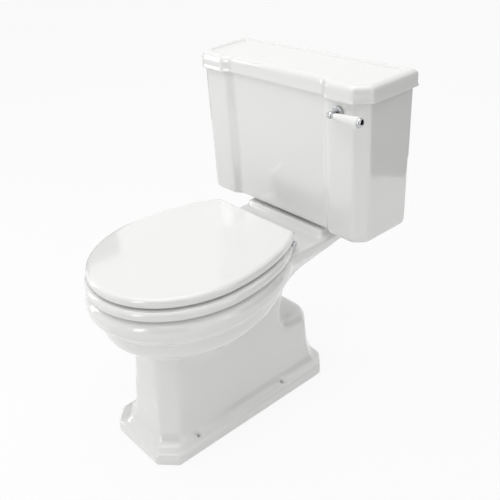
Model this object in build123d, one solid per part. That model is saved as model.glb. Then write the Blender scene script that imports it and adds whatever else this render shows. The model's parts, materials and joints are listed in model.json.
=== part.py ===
from build123d import *
import functools
import math
import os

# Close-coupled toilet: ceramic pan with a cistern standing on its rear deck, hinged seat and lid,
# lever flush, siphon and float valve. Millimetres, +Z up, the toilet faces -Y.
# The origin is on the floor, in the middle of the four floor screw holes.

# ---- pan: plinth and pedestal -------------------------------------------------------------
PLINTH_HALF_W = 115.0
PLINTH_FRONT = -243.0
PLINTH_REAR = 290.0
PLINTH_CHAMFER = 39.0
PLINTH_H = 32.0
PLINTH_EDGE_R = 4.0
FLARE_H = 42.0
FLARE_STEPS = (0.0, 0.04, 0.14, 0.34, 0.64, 1.0)
PED_HALF_W = 81.0
PED_FRONT = -208.0
PED_REAR = 277.0
PED_CHAMFER = 34.0
PED_TOP_Z = 265.0
PED_LEAN_SIDE = 5.0
PED_LEAN_FRONT = 20.0
PED_LEAN_REAR = 15.0
HUMP_Z = 184.0
HUMP_FRONT = 20.0
HUMP_FILLET = 28.0
CHINA_WALL = 14.0
CAVITY_TOP_GAP = 17.0
FLOOR_HOLE_R = 5.0
FLOOR_HOLE_HALF_X = 95.0
FLOOR_HOLE_HALF_Y = 133.0

# ---- pan: bowl ------------------------------------------------------------------------------
RIM_Z = 408.0
RIM_HALF_W = 198.0
RIM_FRONT = -287.0
RIM_MID_Y = -61.0
RIM_BACK_RUN = 275.0
RIM_ROLL_H = 58.0
RIM_TOP_FILLET = 22.0
RIM_UNDER_FILLET = 30.0
# (depth below the rim, inward offset from the rim's outline) down the outside of the bowl
BELL_RINGS = ((52.0, 22.0), (80.0, 24.0), (110.0, 36.0))
FUNNEL_RINGS = ((110.0, 39.0), (122.0, 52.0), (138.0, 84.0), (158.0, 104.0), (190.0, 114.0))
BOWL_MOUTH = (128.0, -232.0, 80.0)
RIM_FLANGE_H = 36.0
RIM_CHANNEL_Z = (380.0, 396.0)
RIM_CHANNEL_IN = 18.0
RIM_CHANNEL_WALL = 10.0
RIM_JETS = 20
RIM_JET_R = 2.5
RIM_JET_OUT = 13.0
RIM_JOINT_DROP = 2.0
FOOT_JOINT_RISE = 6.0
# (depth below the rim, half-width, front, rear) down the inside of the bowl
BOWL_RINGS = (
    (36.0, 142.0, -240.0, 75.0),
    (80.0, 137.0, -233.0, 72.0),
    (115.0, 119.0, -210.0, 64.0),
    (155.0, 84.0, -162.0, 51.0),
    (195.0, 58.0, -112.0, 36.0),
    (240.0, 46.0, -86.0, 20.0),
    (328.0, 36.0, -62.0, 12.0),
)
CUP_WALL = 11.0

# ---- pan: trap ------------------------------------------------------------------------------
TRAP_R = 25.0
TRAP_WALL = 8.0
TRAP_INLET = (-30.0, 104.0)
TRAP_UPTURN = (46.0, 104.0)
TRAP_APEX = (92.0, 310.0)
TRAP_FALL = (138.0, 136.0)
TRAP_DROP_Z = 98.0
OUTLET_Y = 205.0
TRAP_BENDS = (36.0, 34.0, 50.0, 40.0)
OUTLET_Z = 8.0
OUTLET_R = 51.0
OUTLET_BORE_R = 43.0
OUTLET_H = 42.0
OUTLET_TAPER_H = 22.0

# ---- pan: neck, deck and cistern platform -------------------------------------------------
NECK_START_Z = 150.0
NECK_FLANK_Z = 200.0
NECK_REAR = 164.0
NECK_STRAIGHT_Z = 300.0
COVE_END = (207.0, 352.0)
DECK_UNDER = (296.0, 384.0)
DECK_HALF_W = 131.0
DECK_REAR_HALF_W = 139.0
DECK_REAR = 378.0
DECK_WIDEN = (130.0, 262.0)
DECK_FLANK_DROP = 4.0
PLATFORM_FRONT = 247.0
PLATFORM_H = 17.0
PLATFORM_HALF_W = 124.0
GASKET_RECESS_D = 12.0
DUCT_W = 60.0
DUCT_H = 10.0
DUCT_FLOOR_Z = 391.0

# ---- cistern --------------------------------------------------------------------------------
CISTERN_GAP = 9.0
TANK_H = 328.0
TANK_WALL = 9.0
TANK_FLOOR = 11.0
TANK_TOP_HALF_W = 250.0
TANK_BOTTOM_HALF_W = 248.0
TANK_TOP_FRONT = 226.0
TANK_BOTTOM_FRONT = 233.0
TANK_REAR = 384.0
TANK_CHAMFER = 24.0
TANK_EDGE_R = 11.0
PANEL_HALF_W = 140.0
PANEL_STEP = 18.0
PANEL_DEPTH = 12.0
LID_SIDE_OVERHANG = 8.0
LID_FRONT_OVERHANG = 9.0
LID_REAR_OVERHANG = 8.0
LID_EDGE_H = 38.0
LID_LAP = 10.0
LID_CHAMFER = 30.0
LID_TOP_R = 12.0
LID_BEAD_H = 5.0
LID_BEAD_OUT = 1.5
LID_PANEL_IN = 24.0
LID_PANEL_D = 6.0
LID_TOP_T = 14.0
LID_FIT_GAP = 2.5
LID_SEAT_INSET = 8.0
CISTERN_AXIS_Y = 319.0
WALL_HOLE_R = 4.0
WALL_HOLE_HALF_X = 150.0
WALL_HOLE_DROP = 72.0

# ---- cistern bolts and doughnut --------------------------------------------------------------
BOLT_HALF_X = 75.0
BOLT_R = 4.0
BOLT_HOLE_GAP = 2.0
BOLT_HEAD_R = 9.0
BOLT_HEAD_H = 5.0
BOLT_TAIL = 26.0
CONE_R = 15.0
CONE_H = 6.0
PLATE_R = 13.0
PLATE_T = 2.0
WING_NUT_R = 8.0
WING_NUT_H = 9.0
WING_SPAN = 34.0
WING_T = 3.0
WING_H = 14.0
GASKET_WALL = 6.5
GASKET_NUT_GAP = 1.8
GASKET_RECESS_GAP = 0.7

# ---- flush siphon -----------------------------------------------------------------------------
SIPHON_X = 60.0
SIPHON_SHANK_R = 27.0
SIPHON_HOLE_GAP = 1.0
SIPHON_TAIL = 8.0
SIPHON_BORE_R = 20.0
SIPHON_FLANGE_R = 36.0
SIPHON_FLANGE_T = 6.0
SIPHON_WASHER_T = 3.0
SIPHON_NUT_R = 39.0
SIPHON_NUT_H = 13.0
SIPHON_LEG_R = 23.0
SIPHON_CHAMBER_R = 36.0
SIPHON_WALL = 3.0
CHAMBER_BOTTOM = 456.0
CHAMBER_TOP = 556.0
CROWN_TOP = 612.0
CROWN_HALF_D = 21.0
CROWN_END_R = 26.0
ROD_BOSS_R = 6.0
ROD_BOSS_H = 5.0
PISTON_GAP = 1.5
PISTON_T = 3.0
PISTON_HOLE_R = 7.0
PISTON_HOLES = 6
PISTON_HOLE_SHARE = 0.6
PISTON_Z = 462.0
DIAPHRAGM_GAP = 0.6
DIAPHRAGM_T = 0.8
LIFT_ROD_R = 2.5
ROD_GAP = 0.06

# ---- lever ---------------------------------------------------------------------------------------
LEVER_X = 188.0
LEVER_DROP = 33.0
ROSE_R = 19.0
ROSE_STEP_R = 13.0
ROSE_T = 3.5
ROSE_STEP_T = 3.0
ROSE_FLAT_GAP = 0.5
BUSH_R = 8.0
BUSH_HOLE_GAP = 0.2
BUSH_NUT_R = 13.0
BUSH_NUT_T = 6.0
SPINDLE_R = 5.0
SPINDLE_GAP = 0.05
SPINDLE_END = 2.0
CRANK_REACH = 24.0
CRANK_BALL_R = 7.5
GRIP_COLLAR_R = 5.5
GRIP_START = 11.0
GRIP_PIN_R = 2.5
GRIP_PIN_GAP = 0.1
GRIP_LEN = 62.0
GRIP_THIN_R = 6.5
GRIP_THICK_R = 11.5
GRIP_CAP_R = 10.5
GRIP_CAP_T = 7.0
GRIP_CAP_ROUND = 3.5
ARM_REST_DEG = 22.0
ARM_T = 4.0
ARM_H = 8.0
ARM_PAST_LINK = 12.0
ARM_HUB_R = 9.0
ARM_HUB_T = 10.0
SET_SCREW_R = 2.0
SET_SCREW_OUT = 3.0
LINK_T = 3.0
LINK_BAR = 3.0
LINK_UP = 6.4
LINK_DOWN = 8.0
LINK_SIDE_GAP = 1.0

# ---- inlet valve and float ----------------------------------------------------------------------
VALVE_DECK_GAP = 9.0
VALVE_SHANK_R = 10.3
VALVE_NECK_STEP = 0.3
VALVE_HOLE_GAP = 0.7
VALVE_BORE_R = 6.0
VALVE_TAIL = 44.0
VALVE_FLANGE_R = 17.0
VALVE_FLANGE_T = 5.0
VALVE_WASHER_T = 2.5
VALVE_NUT_R = 17.0
VALVE_NUT_H = 10.0
VALVE_COLUMN_R = 13.0
VALVE_EAR_T = 3.0
VALVE_EAR_HALF = 5.0
VALVE_HEAD_R = 19.0
VALVE_HEAD_H = 26.0
VALVE_HEAD_Z = 640.0
FLOAT_R = 33.0
FLOAT_WALL = 2.5
FLOAT_H = 62.0
FLOAT_Z = 552.0
FLOAT_RISE = 24.0
FLOAT_GAP = 0.1
FLOAT_ROD_OUT = 39.0
FLOAT_ROD_R = 2.0
FLOAT_LUG_T = 5.0
FLOAT_LUG_HALF = 5.0
FLOAT_LUG_ROOT = 4.0
VALVE_LEVER_T = 4.0
VALVE_LEVER_H = 5.0
VALVE_LEVER_END = 8.0
VALVE_PIVOT_BACK = 7.0
VALVE_PIVOT_UP = 12.0
VALVE_PIN_R = 2.0
VALVE_PIN_GAP = 0.05
VALVE_SIDE_GAP = 0.4
FLOAT_LINK_UP = 3.8
FLOAT_LINK_DOWN = 3.8

# ---- seat, lid and hinge --------------------------------------------------------------------------
HINGE_Y = 165.0
HINGE_Z = 424.0
SEAT_T = 24.0
SEAT_GAP = 4.0
LID_T = 24.0
LID_GAP = 3.5
SEAT_HALF_W = 194.0
SEAT_FRONT = -283.0
COVER_HALF_W = 188.0
COVER_FRONT = -276.0
COVER_BACK_RUN = 300.0
COVER_REAR = 160.0
SEAT_BACK_RUN = 285.0
SEAT_REAR = 152.0
SEAT_EDGE_R = 10.5
SEAT_CORNER_R = 22.0
SEAT_OPEN_HALF_W = 112.0
SEAT_OPEN_FRONT = -212.0
SEAT_OPEN_REAR = 52.0
SEAT_OPEN_MID = -70.0
POST_HALF_X = 77.5
POST_R = 7.5
POST_BASE_R = 15.0
POST_BASE_T = 4.0
POST_WASHER_T = 1.0
STUD_R = 3.5
STUD_LEN = 40.0
SLEEVE_R = 6.4
DECK_HOLE_GAP = 0.1
DECK_HOLE_D = 45.0
BAR_R = 4.0
BAR_HALF_L = 116.0
END_DISC_R = 7.0
END_DISC_T = 4.0
BARREL_R = 6.8
BARREL_GAP = 0.05
SEAT_BARREL_X = (94.0, 105.0)
COVER_BARREL_X = (54.0, 66.0)
BRACKET_T = 2.2
BRACKET_LEN = 46.0
BRACKET_FLARE = 5.0
BRACKET_REAR_GAP = 1.0
BRACKET_WEB_T = 4.0
BRACKET_SCREWS = (8.0, 26.0)
BALL_X = 110.0
BALL_R = 6.5
BALL_UP = 5.0
BALL_NECK_R = 2.5
BALL_NECK_IN = 16.0
BALL_BACK = 5.5
BUFFER_R = 9.0
BUFFER_GAP = 0.1
BUFFER_PLACES = ((150.0, -40.0), (70.0, -226.0))
SCREW_R = 2.0
SCREW_HEAD_R = 4.0
SCREW_LEN = 11.0

# ---- turns and alignments ------------------------------------------------------------------------
RIGHT_ANGLE = 90
HALF_TURN = 180
ON_ITS_FOOT = (Align.CENTER, Align.CENTER, Align.MIN)

# ---- places and fits worked out from the sizes above --------------------------------------------
PLATFORM_Z = RIM_Z + PLATFORM_H
TANK_Z = PLATFORM_Z + CISTERN_GAP
TANK_FLOOR_Z = TANK_Z + TANK_FLOOR
TANK_TOP = TANK_Z + TANK_H
LID_HALF_W = TANK_TOP_HALF_W + LID_SIDE_OVERHANG
LID_FRONT = TANK_TOP_FRONT - LID_FRONT_OVERHANG
WALL_Y = TANK_REAR + LID_REAR_OVERHANG
LID_Z = TANK_TOP - LID_LAP
TOP_Z = LID_Z + LID_EDGE_H
WALL_HOLE_Z = TANK_TOP - WALL_HOLE_DROP
LEVER_Z = TANK_TOP - LEVER_DROP
VALVE_X = -(DECK_REAR_HALF_W + VALVE_DECK_GAP + VALVE_NUT_R)
SEAT_Z = RIM_Z + SEAT_GAP
SEAT_TOP = SEAT_Z + SEAT_T
COVER_Z = SEAT_TOP + LID_GAP
GASKET_IN_R = SIPHON_NUT_R + GASKET_NUT_GAP
GASKET_OUT_R = GASKET_IN_R + GASKET_WALL
GASKET_RECESS_R = GASKET_OUT_R + GASKET_RECESS_GAP
GASKET_Z = PLATFORM_Z - GASKET_RECESS_D
SIPHON_HOLE_R = SIPHON_SHANK_R + SIPHON_HOLE_GAP
SIPHON_FLANGE_Z = TANK_FLOOR_Z + SIPHON_WASHER_T
BOLT_HOLE_R = BOLT_R + BOLT_HOLE_GAP
ROD_RUN = LEVER_X - SIPHON_X
LINK_Z = LEVER_Z - ROD_RUN * math.tan(math.radians(ARM_REST_DEG))
VALVE_NECK_R = VALVE_SHANK_R + VALVE_NECK_STEP
VALVE_HOLE_R = VALVE_NECK_R + VALVE_HOLE_GAP
VALVE_FLANGE_Z = TANK_FLOOR_Z + VALVE_WASHER_T
VALVE_PIVOT_X = VALVE_X - VALVE_PIVOT_BACK
VALVE_PIVOT_Z = VALVE_HEAD_Z + VALVE_HEAD_H + VALVE_PIVOT_UP
VALVE_LEVER_RUN = VALVE_PIVOT_BACK + FLOAT_ROD_OUT
VALVE_REST_DEG = math.degrees(math.atan(FLOAT_RISE / 2 / VALVE_LEVER_RUN))
FLOAT_ROD_X = VALVE_X + FLOAT_ROD_OUT
FLOAT_LINK_Z = VALVE_PIVOT_Z - FLOAT_RISE / 2
DECK_HOLE_R = SLEEVE_R + DECK_HOLE_GAP
WEB_Y = SEAT_REAR + BRACKET_REAR_GAP
RIM_JOINT_Z = RIM_Z - RIM_FLANGE_H - RIM_JOINT_DROP
FOOT_JOINT_Z = HUMP_Z + FOOT_JOINT_RISE


def octagon(half_w, front, rear, chamfer, z):
    """Plan outline with four cut corners, as a wire at height z."""
    points = [
        (half_w, front + chamfer), (half_w, rear - chamfer), (half_w - chamfer, rear),
        (chamfer - half_w, rear), (-half_w, rear - chamfer), (-half_w, front + chamfer),
        (chamfer - half_w, front), (half_w - chamfer, front),
    ]
    return Wire.make_polygon([Vector(x, y, z) for x, y in points], close=True)


def egg(half_w, front, mid_y, back_run, z=0.0):
    """Plan outline of a seat or bowl: two half ellipses that share their widest line."""
    plane = Plane(origin=(0, 0, z))
    mid = (0, mid_y)
    fore = plane * EllipticalCenterArc(mid, half_w, mid_y - front, start_angle=HALF_TURN, arc_size=HALF_TURN)
    aft = plane * EllipticalCenterArc(mid, half_w, back_run, start_angle=0, arc_size=HALF_TURN)
    return Wire([fore.edges()[0], aft.edges()[0]])


def disc(radius, height, at):
    """Upright cylinder that stands on the point at."""
    return Pos(*at) * Cylinder(radius, height, align=ON_ITS_FOOT)


def along_y(radius, length, at):
    """Cylinder that runs from the point at towards +Y."""
    return Pos(*at) * Rot(-RIGHT_ANGLE, 0, 0) * Cylinder(radius, length, align=ON_ITS_FOOT)


def along_x(radius, length, at):
    """Cylinder that runs from the point at towards +X."""
    return Pos(*at) * Rot(0, RIGHT_ANGLE, 0) * Cylinder(radius, length, align=ON_ITS_FOOT)


def block(x, y, z):
    """Box given by its low and high X, Y and Z."""
    size = (x[1] - x[0], y[1] - y[0], z[1] - z[0])
    return Pos(x[0], y[0], z[0]) * Box(*size, align=(Align.MIN, Align.MIN, Align.MIN))


def mirrored_pair(shape):
    """The shape and its mirror image across the centre plane."""
    return [shape, mirror(shape, about=Plane.YZ)]


def save(name, shapes):
    """Write one node: every shape in the list stays a solid of its own."""
    solids = []
    for shape in shapes if isinstance(shapes, list) else [shapes]:
        solids.extend(shape.solids())
    made = solids[0] if len(solids) == 1 else Compound(children=solids)
    made.label = name
    export_step(made, os.path.join("parts", name + ".step"))
    return made


# ---- pan ---------------------------------------------------------------------------------------
def plinth_ring(share, z):
    """Outline between the plinth (share 0) and the pedestal's foot (share 1)."""
    def mix(low, high):
        return low + (high - low) * share
    half_w = mix(PLINTH_HALF_W, PED_HALF_W)
    front = mix(PLINTH_FRONT, PED_FRONT)
    rear = mix(PLINTH_REAR, PED_REAR)
    return octagon(half_w, front, rear, mix(PLINTH_CHAMFER, PED_CHAMFER), z)


def pedestal_lean(z):
    """Share of the pedestal's height at z, from the plinth's top edge."""
    return (z - PLINTH_H) / (PED_TOP_Z - PLINTH_H)


def pedestal_half_w(z):
    return PED_HALF_W - PED_LEAN_SIDE * pedestal_lean(z)


def pedestal_ring(z, inset=0.0):
    """Outline of the leaning pedestal at height z, moved inwards by inset."""
    lean = pedestal_lean(z)
    front = PED_FRONT + PED_LEAN_FRONT * lean + inset
    rear = PED_REAR - PED_LEAN_REAR * lean - inset
    return octagon(pedestal_half_w(z) - inset, front, rear, PED_CHAMFER, z)


def pan_foot():
    """Plinth, its hollow flare and the pedestal with the rounded trap hump at its rear."""
    plinth = extrude(Face(plinth_ring(0.0, 0.0)), PLINTH_H)
    plinth = fillet(plinth.edges().group_by(Axis.Z)[-1], PLINTH_EDGE_R)
    rings = []
    for step in FLARE_STEPS:
        share = math.sqrt(1.0 - (1.0 - step) ** 2)
        inset = PLINTH_EDGE_R / (PLINTH_HALF_W - PED_HALF_W)
        rings.append(plinth_ring(inset + (1.0 - inset) * share, PLINTH_H + FLARE_H * step))
    flare = Solid.make_loft(rings, ruled=True)
    tall = Solid.make_loft([pedestal_ring(PLINTH_H), pedestal_ring(PED_TOP_Z)], ruled=True)
    across = (-PLINTH_HALF_W, PLINTH_HALF_W)
    low = tall & block(across, (PLINTH_FRONT, PLINTH_REAR), (0.0, HUMP_Z))
    top = low.faces().sort_by(Axis.Z)[-1]
    rounded = [edge for edge in top.edges() if edge.center().Y > PED_FRONT + PED_CHAMFER + PED_LEAN_FRONT]
    low = fillet(rounded, HUMP_FILLET)
    front = tall & block(across, (PLINTH_FRONT, HUMP_FRONT), (0.0, PED_TOP_Z))
    return plinth + flare + low + front


def bowl_outside():
    """Rim roll, the bell under it and the funnel that runs down into the pedestal."""
    roll = extrude(Face(egg(RIM_HALF_W, RIM_FRONT, RIM_MID_Y, RIM_BACK_RUN, RIM_Z - RIM_ROLL_H)), RIM_ROLL_H)
    edges = roll.edges().group_by(Axis.Z)
    roll = fillet(edges[-1], RIM_TOP_FILLET)
    roll = fillet(roll.edges().group_by(Axis.Z)[0], RIM_UNDER_FILLET)

    def ring(drop, inset):
        return egg(RIM_HALF_W - inset, RIM_FRONT + inset, RIM_MID_Y, RIM_BACK_RUN - inset, RIM_Z - drop)
    bell = Solid.make_loft([ring(*pair) for pair in BELL_RINGS])
    funnel = Solid.make_loft([ring(*pair) for pair in FUNNEL_RINGS])
    return roll + bell + funnel


def ellipse_ring(half_w, front, rear, z):
    """One elliptical ring of the bowl's inside."""
    plane = Plane(origin=(0, (front + rear) / 2, z))
    return Wire([(plane * Edge.make_ellipse(half_w, (rear - front) / 2)).edges()[0]])


def bowl_inside(grow):
    """The bowl's hollow below the rim, made larger all round by grow."""
    rings = []
    for drop, half_w, front, rear in BOWL_RINGS:
        foot_drop = grow if drop == BOWL_RINGS[-1][0] else 0.0
        rings.append(ellipse_ring(half_w + grow, front - grow, rear + grow, RIM_Z - drop - foot_drop))
    return Solid.make_loft(rings)


def trap_path():
    """Centre line of the trap: up to the weir, down behind it and straight down to the floor."""
    points = [TRAP_INLET, TRAP_UPTURN, TRAP_APEX, TRAP_FALL, (OUTLET_Y, TRAP_DROP_Z), (OUTLET_Y, OUTLET_Z)]
    return FilletPolyline(*[(0, y, z) for y, z in points], radius=TRAP_BENDS)


def trap(radius):
    """The trap's passage as a solid of the given radius."""
    start = Plane(origin=(0, *TRAP_INLET), x_dir=(1, 0, 0), z_dir=(0, 1, 0))
    return sweep(start * Circle(radius), path=trap_path())


def neck_and_deck():
    """Neck behind the bowl, and the deck that reaches back under the cistern."""
    side = Polyline((RIM_MID_Y, RIM_Z), (RIM_MID_Y, NECK_START_Z), (NECK_REAR, NECK_START_Z),
                    (NECK_REAR, NECK_STRAIGHT_Z))
    cove = TangentArc(side @ 1, COVE_END, tangent=(0, 1))
    rear_foot = (DECK_REAR, DECK_UNDER[1])
    under = Polyline(COVE_END, DECK_UNDER, rear_foot, (DECK_REAR, RIM_Z), (RIM_MID_Y, RIM_Z))
    side_face = Plane.YZ * make_face([*side.edges(), cove.edges()[0], *under.edges()])
    length = extrude(side_face, DECK_REAR_HALF_W, both=True)

    foot = (pedestal_half_w(NECK_START_Z), NECK_START_Z)
    waist = (pedestal_half_w(NECK_FLANK_Z), NECK_FLANK_Z)
    flank = (DECK_HALF_W, DECK_UNDER[1] - DECK_FLANK_DROP)
    lower = TangentArc(waist, flank, tangent=(0, 1))
    brow = (DECK_REAR_HALF_W, RIM_Z)
    front_view = [
        lower.edges()[0],
        *Polyline(flank, brow, (-brow[0], brow[1]), (-flank[0], flank[1])).edges(),
        mirror(lower, about=Plane.YZ).edges()[0],
        *Polyline((-waist[0], waist[1]), (-foot[0], foot[1]), foot, waist).edges(),
    ]
    front_face = Plane.XZ * make_face(front_view)
    width = Pos(0, DECK_REAR, 0) * extrude(front_face, DECK_REAR - RIM_MID_Y)
    body = length & width
    flare = [(DECK_HALF_W, DECK_WIDEN[0]), (DECK_REAR_HALF_W, DECK_WIDEN[1])]
    plan = Polyline((0, RIM_MID_Y), (DECK_HALF_W, RIM_MID_Y), *flare, (DECK_REAR_HALF_W, DECK_REAR),
                    (0, DECK_REAR), close=True)
    half = extrude(make_face(plan.edges()), RIM_Z)
    return body & (half + mirror(half, about=Plane.YZ))


def platform():
    """Raised seat for the cistern, with a cove down to the deck in front of it."""
    across = (-PLATFORM_HALF_W, PLATFORM_HALF_W)
    cove_y = PLATFORM_FRONT - PLATFORM_H
    rise = (DECK_UNDER[1], PLATFORM_Z)
    slab = block(across, (PLATFORM_FRONT, DECK_REAR), rise)
    fill = block(across, (cove_y, PLATFORM_FRONT), rise)
    scoop = along_x(PLATFORM_H, 2 * PLATFORM_HALF_W, (-PLATFORM_HALF_W, cove_y, PLATFORM_Z))
    return slab + (fill - scoop)


def pedestal_cavity():
    """The hollow under the pan, open to the floor, lower under the hump."""
    top_z = PED_TOP_Z - CAVITY_TOP_GAP
    tall = Solid.make_loft([pedestal_ring(0.0, CHINA_WALL), pedestal_ring(top_z, CHINA_WALL)], ruled=True)
    across = (-PLINTH_HALF_W, PLINTH_HALF_W)
    low = tall & block(across, (PLINTH_FRONT, PLINTH_REAR), (0.0, HUMP_Z - CAVITY_TOP_GAP))
    rounded = [edge for edge in low.faces().sort_by(Axis.Z)[-1].edges() if edge.center().Y > HUMP_FRONT]
    low = fillet(rounded, HUMP_FILLET - CHINA_WALL)
    front = tall & block(across, (PLINTH_FRONT, HUMP_FRONT - CHINA_WALL), (0.0, top_z))
    return low + front


def outlet_horn():
    """Ring at the foot of the trap that the soil pipe takes."""
    ring = disc(OUTLET_R, OUTLET_H, (0, OUTLET_Y, OUTLET_Z))
    taper_z = OUTLET_Z + OUTLET_H
    taper = Pos(0, OUTLET_Y, taper_z) * Cone(OUTLET_R, TRAP_R + TRAP_WALL, OUTLET_TAPER_H, align=ON_ITS_FOOT)
    return ring + taper


def rim_channel():
    """The hollow in the rim that the flush runs round, with its ring of jets down into the bowl."""
    low, high = RIM_CHANNEL_Z
    half_w, front, rear = BOWL_MOUTH
    outer = egg(RIM_HALF_W - RIM_CHANNEL_IN, RIM_FRONT + RIM_CHANNEL_IN, RIM_MID_Y,
                rear + DUCT_W / 2 - RIM_MID_Y, low)
    wall = RIM_CHANNEL_WALL
    inner = egg(half_w + wall, front - wall, RIM_MID_Y, rear + wall - RIM_MID_Y, low)
    channel = extrude(Face(outer), high - low) - extrude(Face(inner), high - low)
    jet_z = RIM_Z - RIM_FLANGE_H
    for index in range(RIM_JETS):
        turn = 2 * math.pi * (index + 0.5) / RIM_JETS
        run = rear - RIM_MID_Y if math.sin(turn) > 0 else RIM_MID_Y - front
        x = (half_w + RIM_JET_OUT) * math.cos(turn)
        y = RIM_MID_Y + (run + RIM_JET_OUT) * math.sin(turn)
        channel = channel + disc(RIM_JET_R, low - jet_z, (x, y, jet_z))
    return channel


@functools.cache
def pan():
    """The whole fired pan: outside, bowl, trap, flush duct and every hole in it."""
    body = pan_foot() + bowl_outside() + neck_and_deck() + platform()
    body = body - pedestal_cavity()
    body = body + bowl_inside(CUP_WALL) + trap(TRAP_R + TRAP_WALL) + outlet_horn()
    mouth = egg(BOWL_MOUTH[0], BOWL_MOUTH[1], RIM_MID_Y, BOWL_MOUTH[2] - RIM_MID_Y, RIM_Z - RIM_FLANGE_H)
    body = body - extrude(Face(mouth), RIM_FLANGE_H) - bowl_inside(0.0) - trap(TRAP_R)
    body = body - disc(OUTLET_BORE_R, OUTLET_H, (0, OUTLET_Y, OUTLET_Z))
    body = body - disc(GASKET_RECESS_R, GASKET_RECESS_D, (0, CISTERN_AXIS_Y, GASKET_Z))
    body = body - disc(SIPHON_HOLE_R, GASKET_Z - DUCT_FLOOR_Z, (0, CISTERN_AXIS_Y, DUCT_FLOOR_Z))
    body = body - block((-DUCT_W / 2, DUCT_W / 2), (BOWL_MOUTH[2] + RIM_CHANNEL_WALL, CISTERN_AXIS_Y),
                        (DUCT_FLOOR_Z, DUCT_FLOOR_Z + DUCT_H))
    body = body - rim_channel()
    for x in (-FLOOR_HOLE_HALF_X, FLOOR_HOLE_HALF_X):
        for y in (-FLOOR_HOLE_HALF_Y, FLOOR_HOLE_HALF_Y):
            body = body - disc(FLOOR_HOLE_R, PLINTH_H + FLARE_H, (x, y, 0))
    for x in (-BOLT_HALF_X, BOLT_HALF_X):
        body = body - disc(BOLT_HOLE_R, PLATFORM_Z - DECK_UNDER[1], (x, CISTERN_AXIS_Y, DECK_UNDER[1]))
    for x in (-POST_HALF_X, POST_HALF_X):
        body = body - disc(DECK_HOLE_R, DECK_HOLE_D, (x, HINGE_Y, RIM_Z - DECK_HOLE_D))
    return body


def pan_casting(low_z, high_z):
    """One of the castings that are stuck together with slip before firing, between two level joints."""
    return pan() & block((-2 * RIM_HALF_W, 2 * RIM_HALF_W), (2 * RIM_FRONT, 2 * DECK_REAR), (low_z, high_z))


def pan_foot_casting():
    return pan_casting(-PLINTH_H, FOOT_JOINT_Z)


def pan_bowl_casting():
    return pan_casting(FOOT_JOINT_Z, RIM_JOINT_Z)


def pan_rim_casting():
    return pan_casting(RIM_JOINT_Z, RIM_Z + PLATFORM_H + PLINTH_H)


# ---- cistern tank and its lid --------------------------------------------------------------------
def cistern_outline(half_w, front, rear, chamfer, z):
    """Plan outline of the cistern: cut front corners and a shallow recessed middle panel."""
    right = [
        (half_w, rear), (half_w, front + chamfer), (half_w - chamfer, front),
        (PANEL_HALF_W + PANEL_STEP, front), (PANEL_HALF_W, front + PANEL_DEPTH),
    ]
    left = [(-x, y) for x, y in reversed(right)]
    return Wire.make_polygon([Vector(x, y, z) for x, y in reversed(right + left)], close=True)


def tank_front(z):
    return TANK_BOTTOM_FRONT + (TANK_TOP_FRONT - TANK_BOTTOM_FRONT) * (z - TANK_Z) / TANK_H


def tank_half_w(z):
    return TANK_BOTTOM_HALF_W + (TANK_TOP_HALF_W - TANK_BOTTOM_HALF_W) * (z - TANK_Z) / TANK_H


def tank_outline(z):
    return cistern_outline(tank_half_w(z), tank_front(z), TANK_REAR, TANK_CHAMFER, z)


def tank_inner_front(z):
    return tank_front(z) + PANEL_DEPTH + TANK_WALL


def tank_inner_outline(z):
    """Plan outline of the tank's hollow, flat behind the panel and the pilasters alike."""
    half_w = tank_half_w(z) - TANK_WALL
    front = tank_inner_front(z)
    rear = TANK_REAR - TANK_WALL
    chamfer = TANK_CHAMFER - PANEL_DEPTH - TANK_WALL * (2 - math.sqrt(2))
    right = [(half_w, rear), (half_w, front + chamfer), (half_w - chamfer, front)]
    left = [(-x, y) for x, y in reversed(right)]
    return Wire.make_polygon([Vector(x, y, z) for x, y in right + left], close=True)


def rose_back():
    """Y of the flat ground on the tank's front for the lever's rose."""
    return tank_front(LEVER_Z - ROSE_R)


def cistern_tank():
    """Tapered ceramic tank, open at the top, with its holes."""
    outer = Solid.make_loft([tank_outline(TANK_Z), tank_outline(TANK_TOP)], ruled=True)
    outer = fillet(outer.edges().group_by(Axis.Z)[0], TANK_EDGE_R)
    hollow = Solid.make_loft([tank_inner_outline(TANK_FLOOR_Z), tank_inner_outline(TANK_TOP)], ruled=True)
    body = outer - hollow
    body = body - disc(SIPHON_HOLE_R, TANK_FLOOR, (0, CISTERN_AXIS_Y, TANK_Z))
    body = body - disc(VALVE_HOLE_R, TANK_FLOOR, (VALVE_X, CISTERN_AXIS_Y, TANK_Z))
    for x in (-BOLT_HALF_X, BOLT_HALF_X):
        body = body - disc(BOLT_HOLE_R, TANK_FLOOR, (x, CISTERN_AXIS_Y, TANK_Z))
    for x in (-WALL_HOLE_HALF_X, WALL_HOLE_HALF_X):
        body = body - along_y(WALL_HOLE_R, TANK_WALL, (x, TANK_REAR - TANK_WALL, WALL_HOLE_Z))
    flat = rose_back()
    body = body - along_y(ROSE_R + ROSE_FLAT_GAP, ROSE_T, (LEVER_X, flat - ROSE_T, LEVER_Z))
    hole = along_y(BUSH_R + BUSH_HOLE_GAP, PANEL_DEPTH + TANK_WALL * 2, (LEVER_X, flat - ROSE_T, LEVER_Z))
    return body - hole


def lid_outline(inset, z):
    """Plan outline of the cistern lid, moved inwards all round by inset."""
    face = Face(cistern_outline(LID_HALF_W, LID_FRONT, WALL_Y, LID_CHAMFER, z))
    return offset(face, -inset, kind=Kind.INTERSECTION) if inset else face


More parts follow.
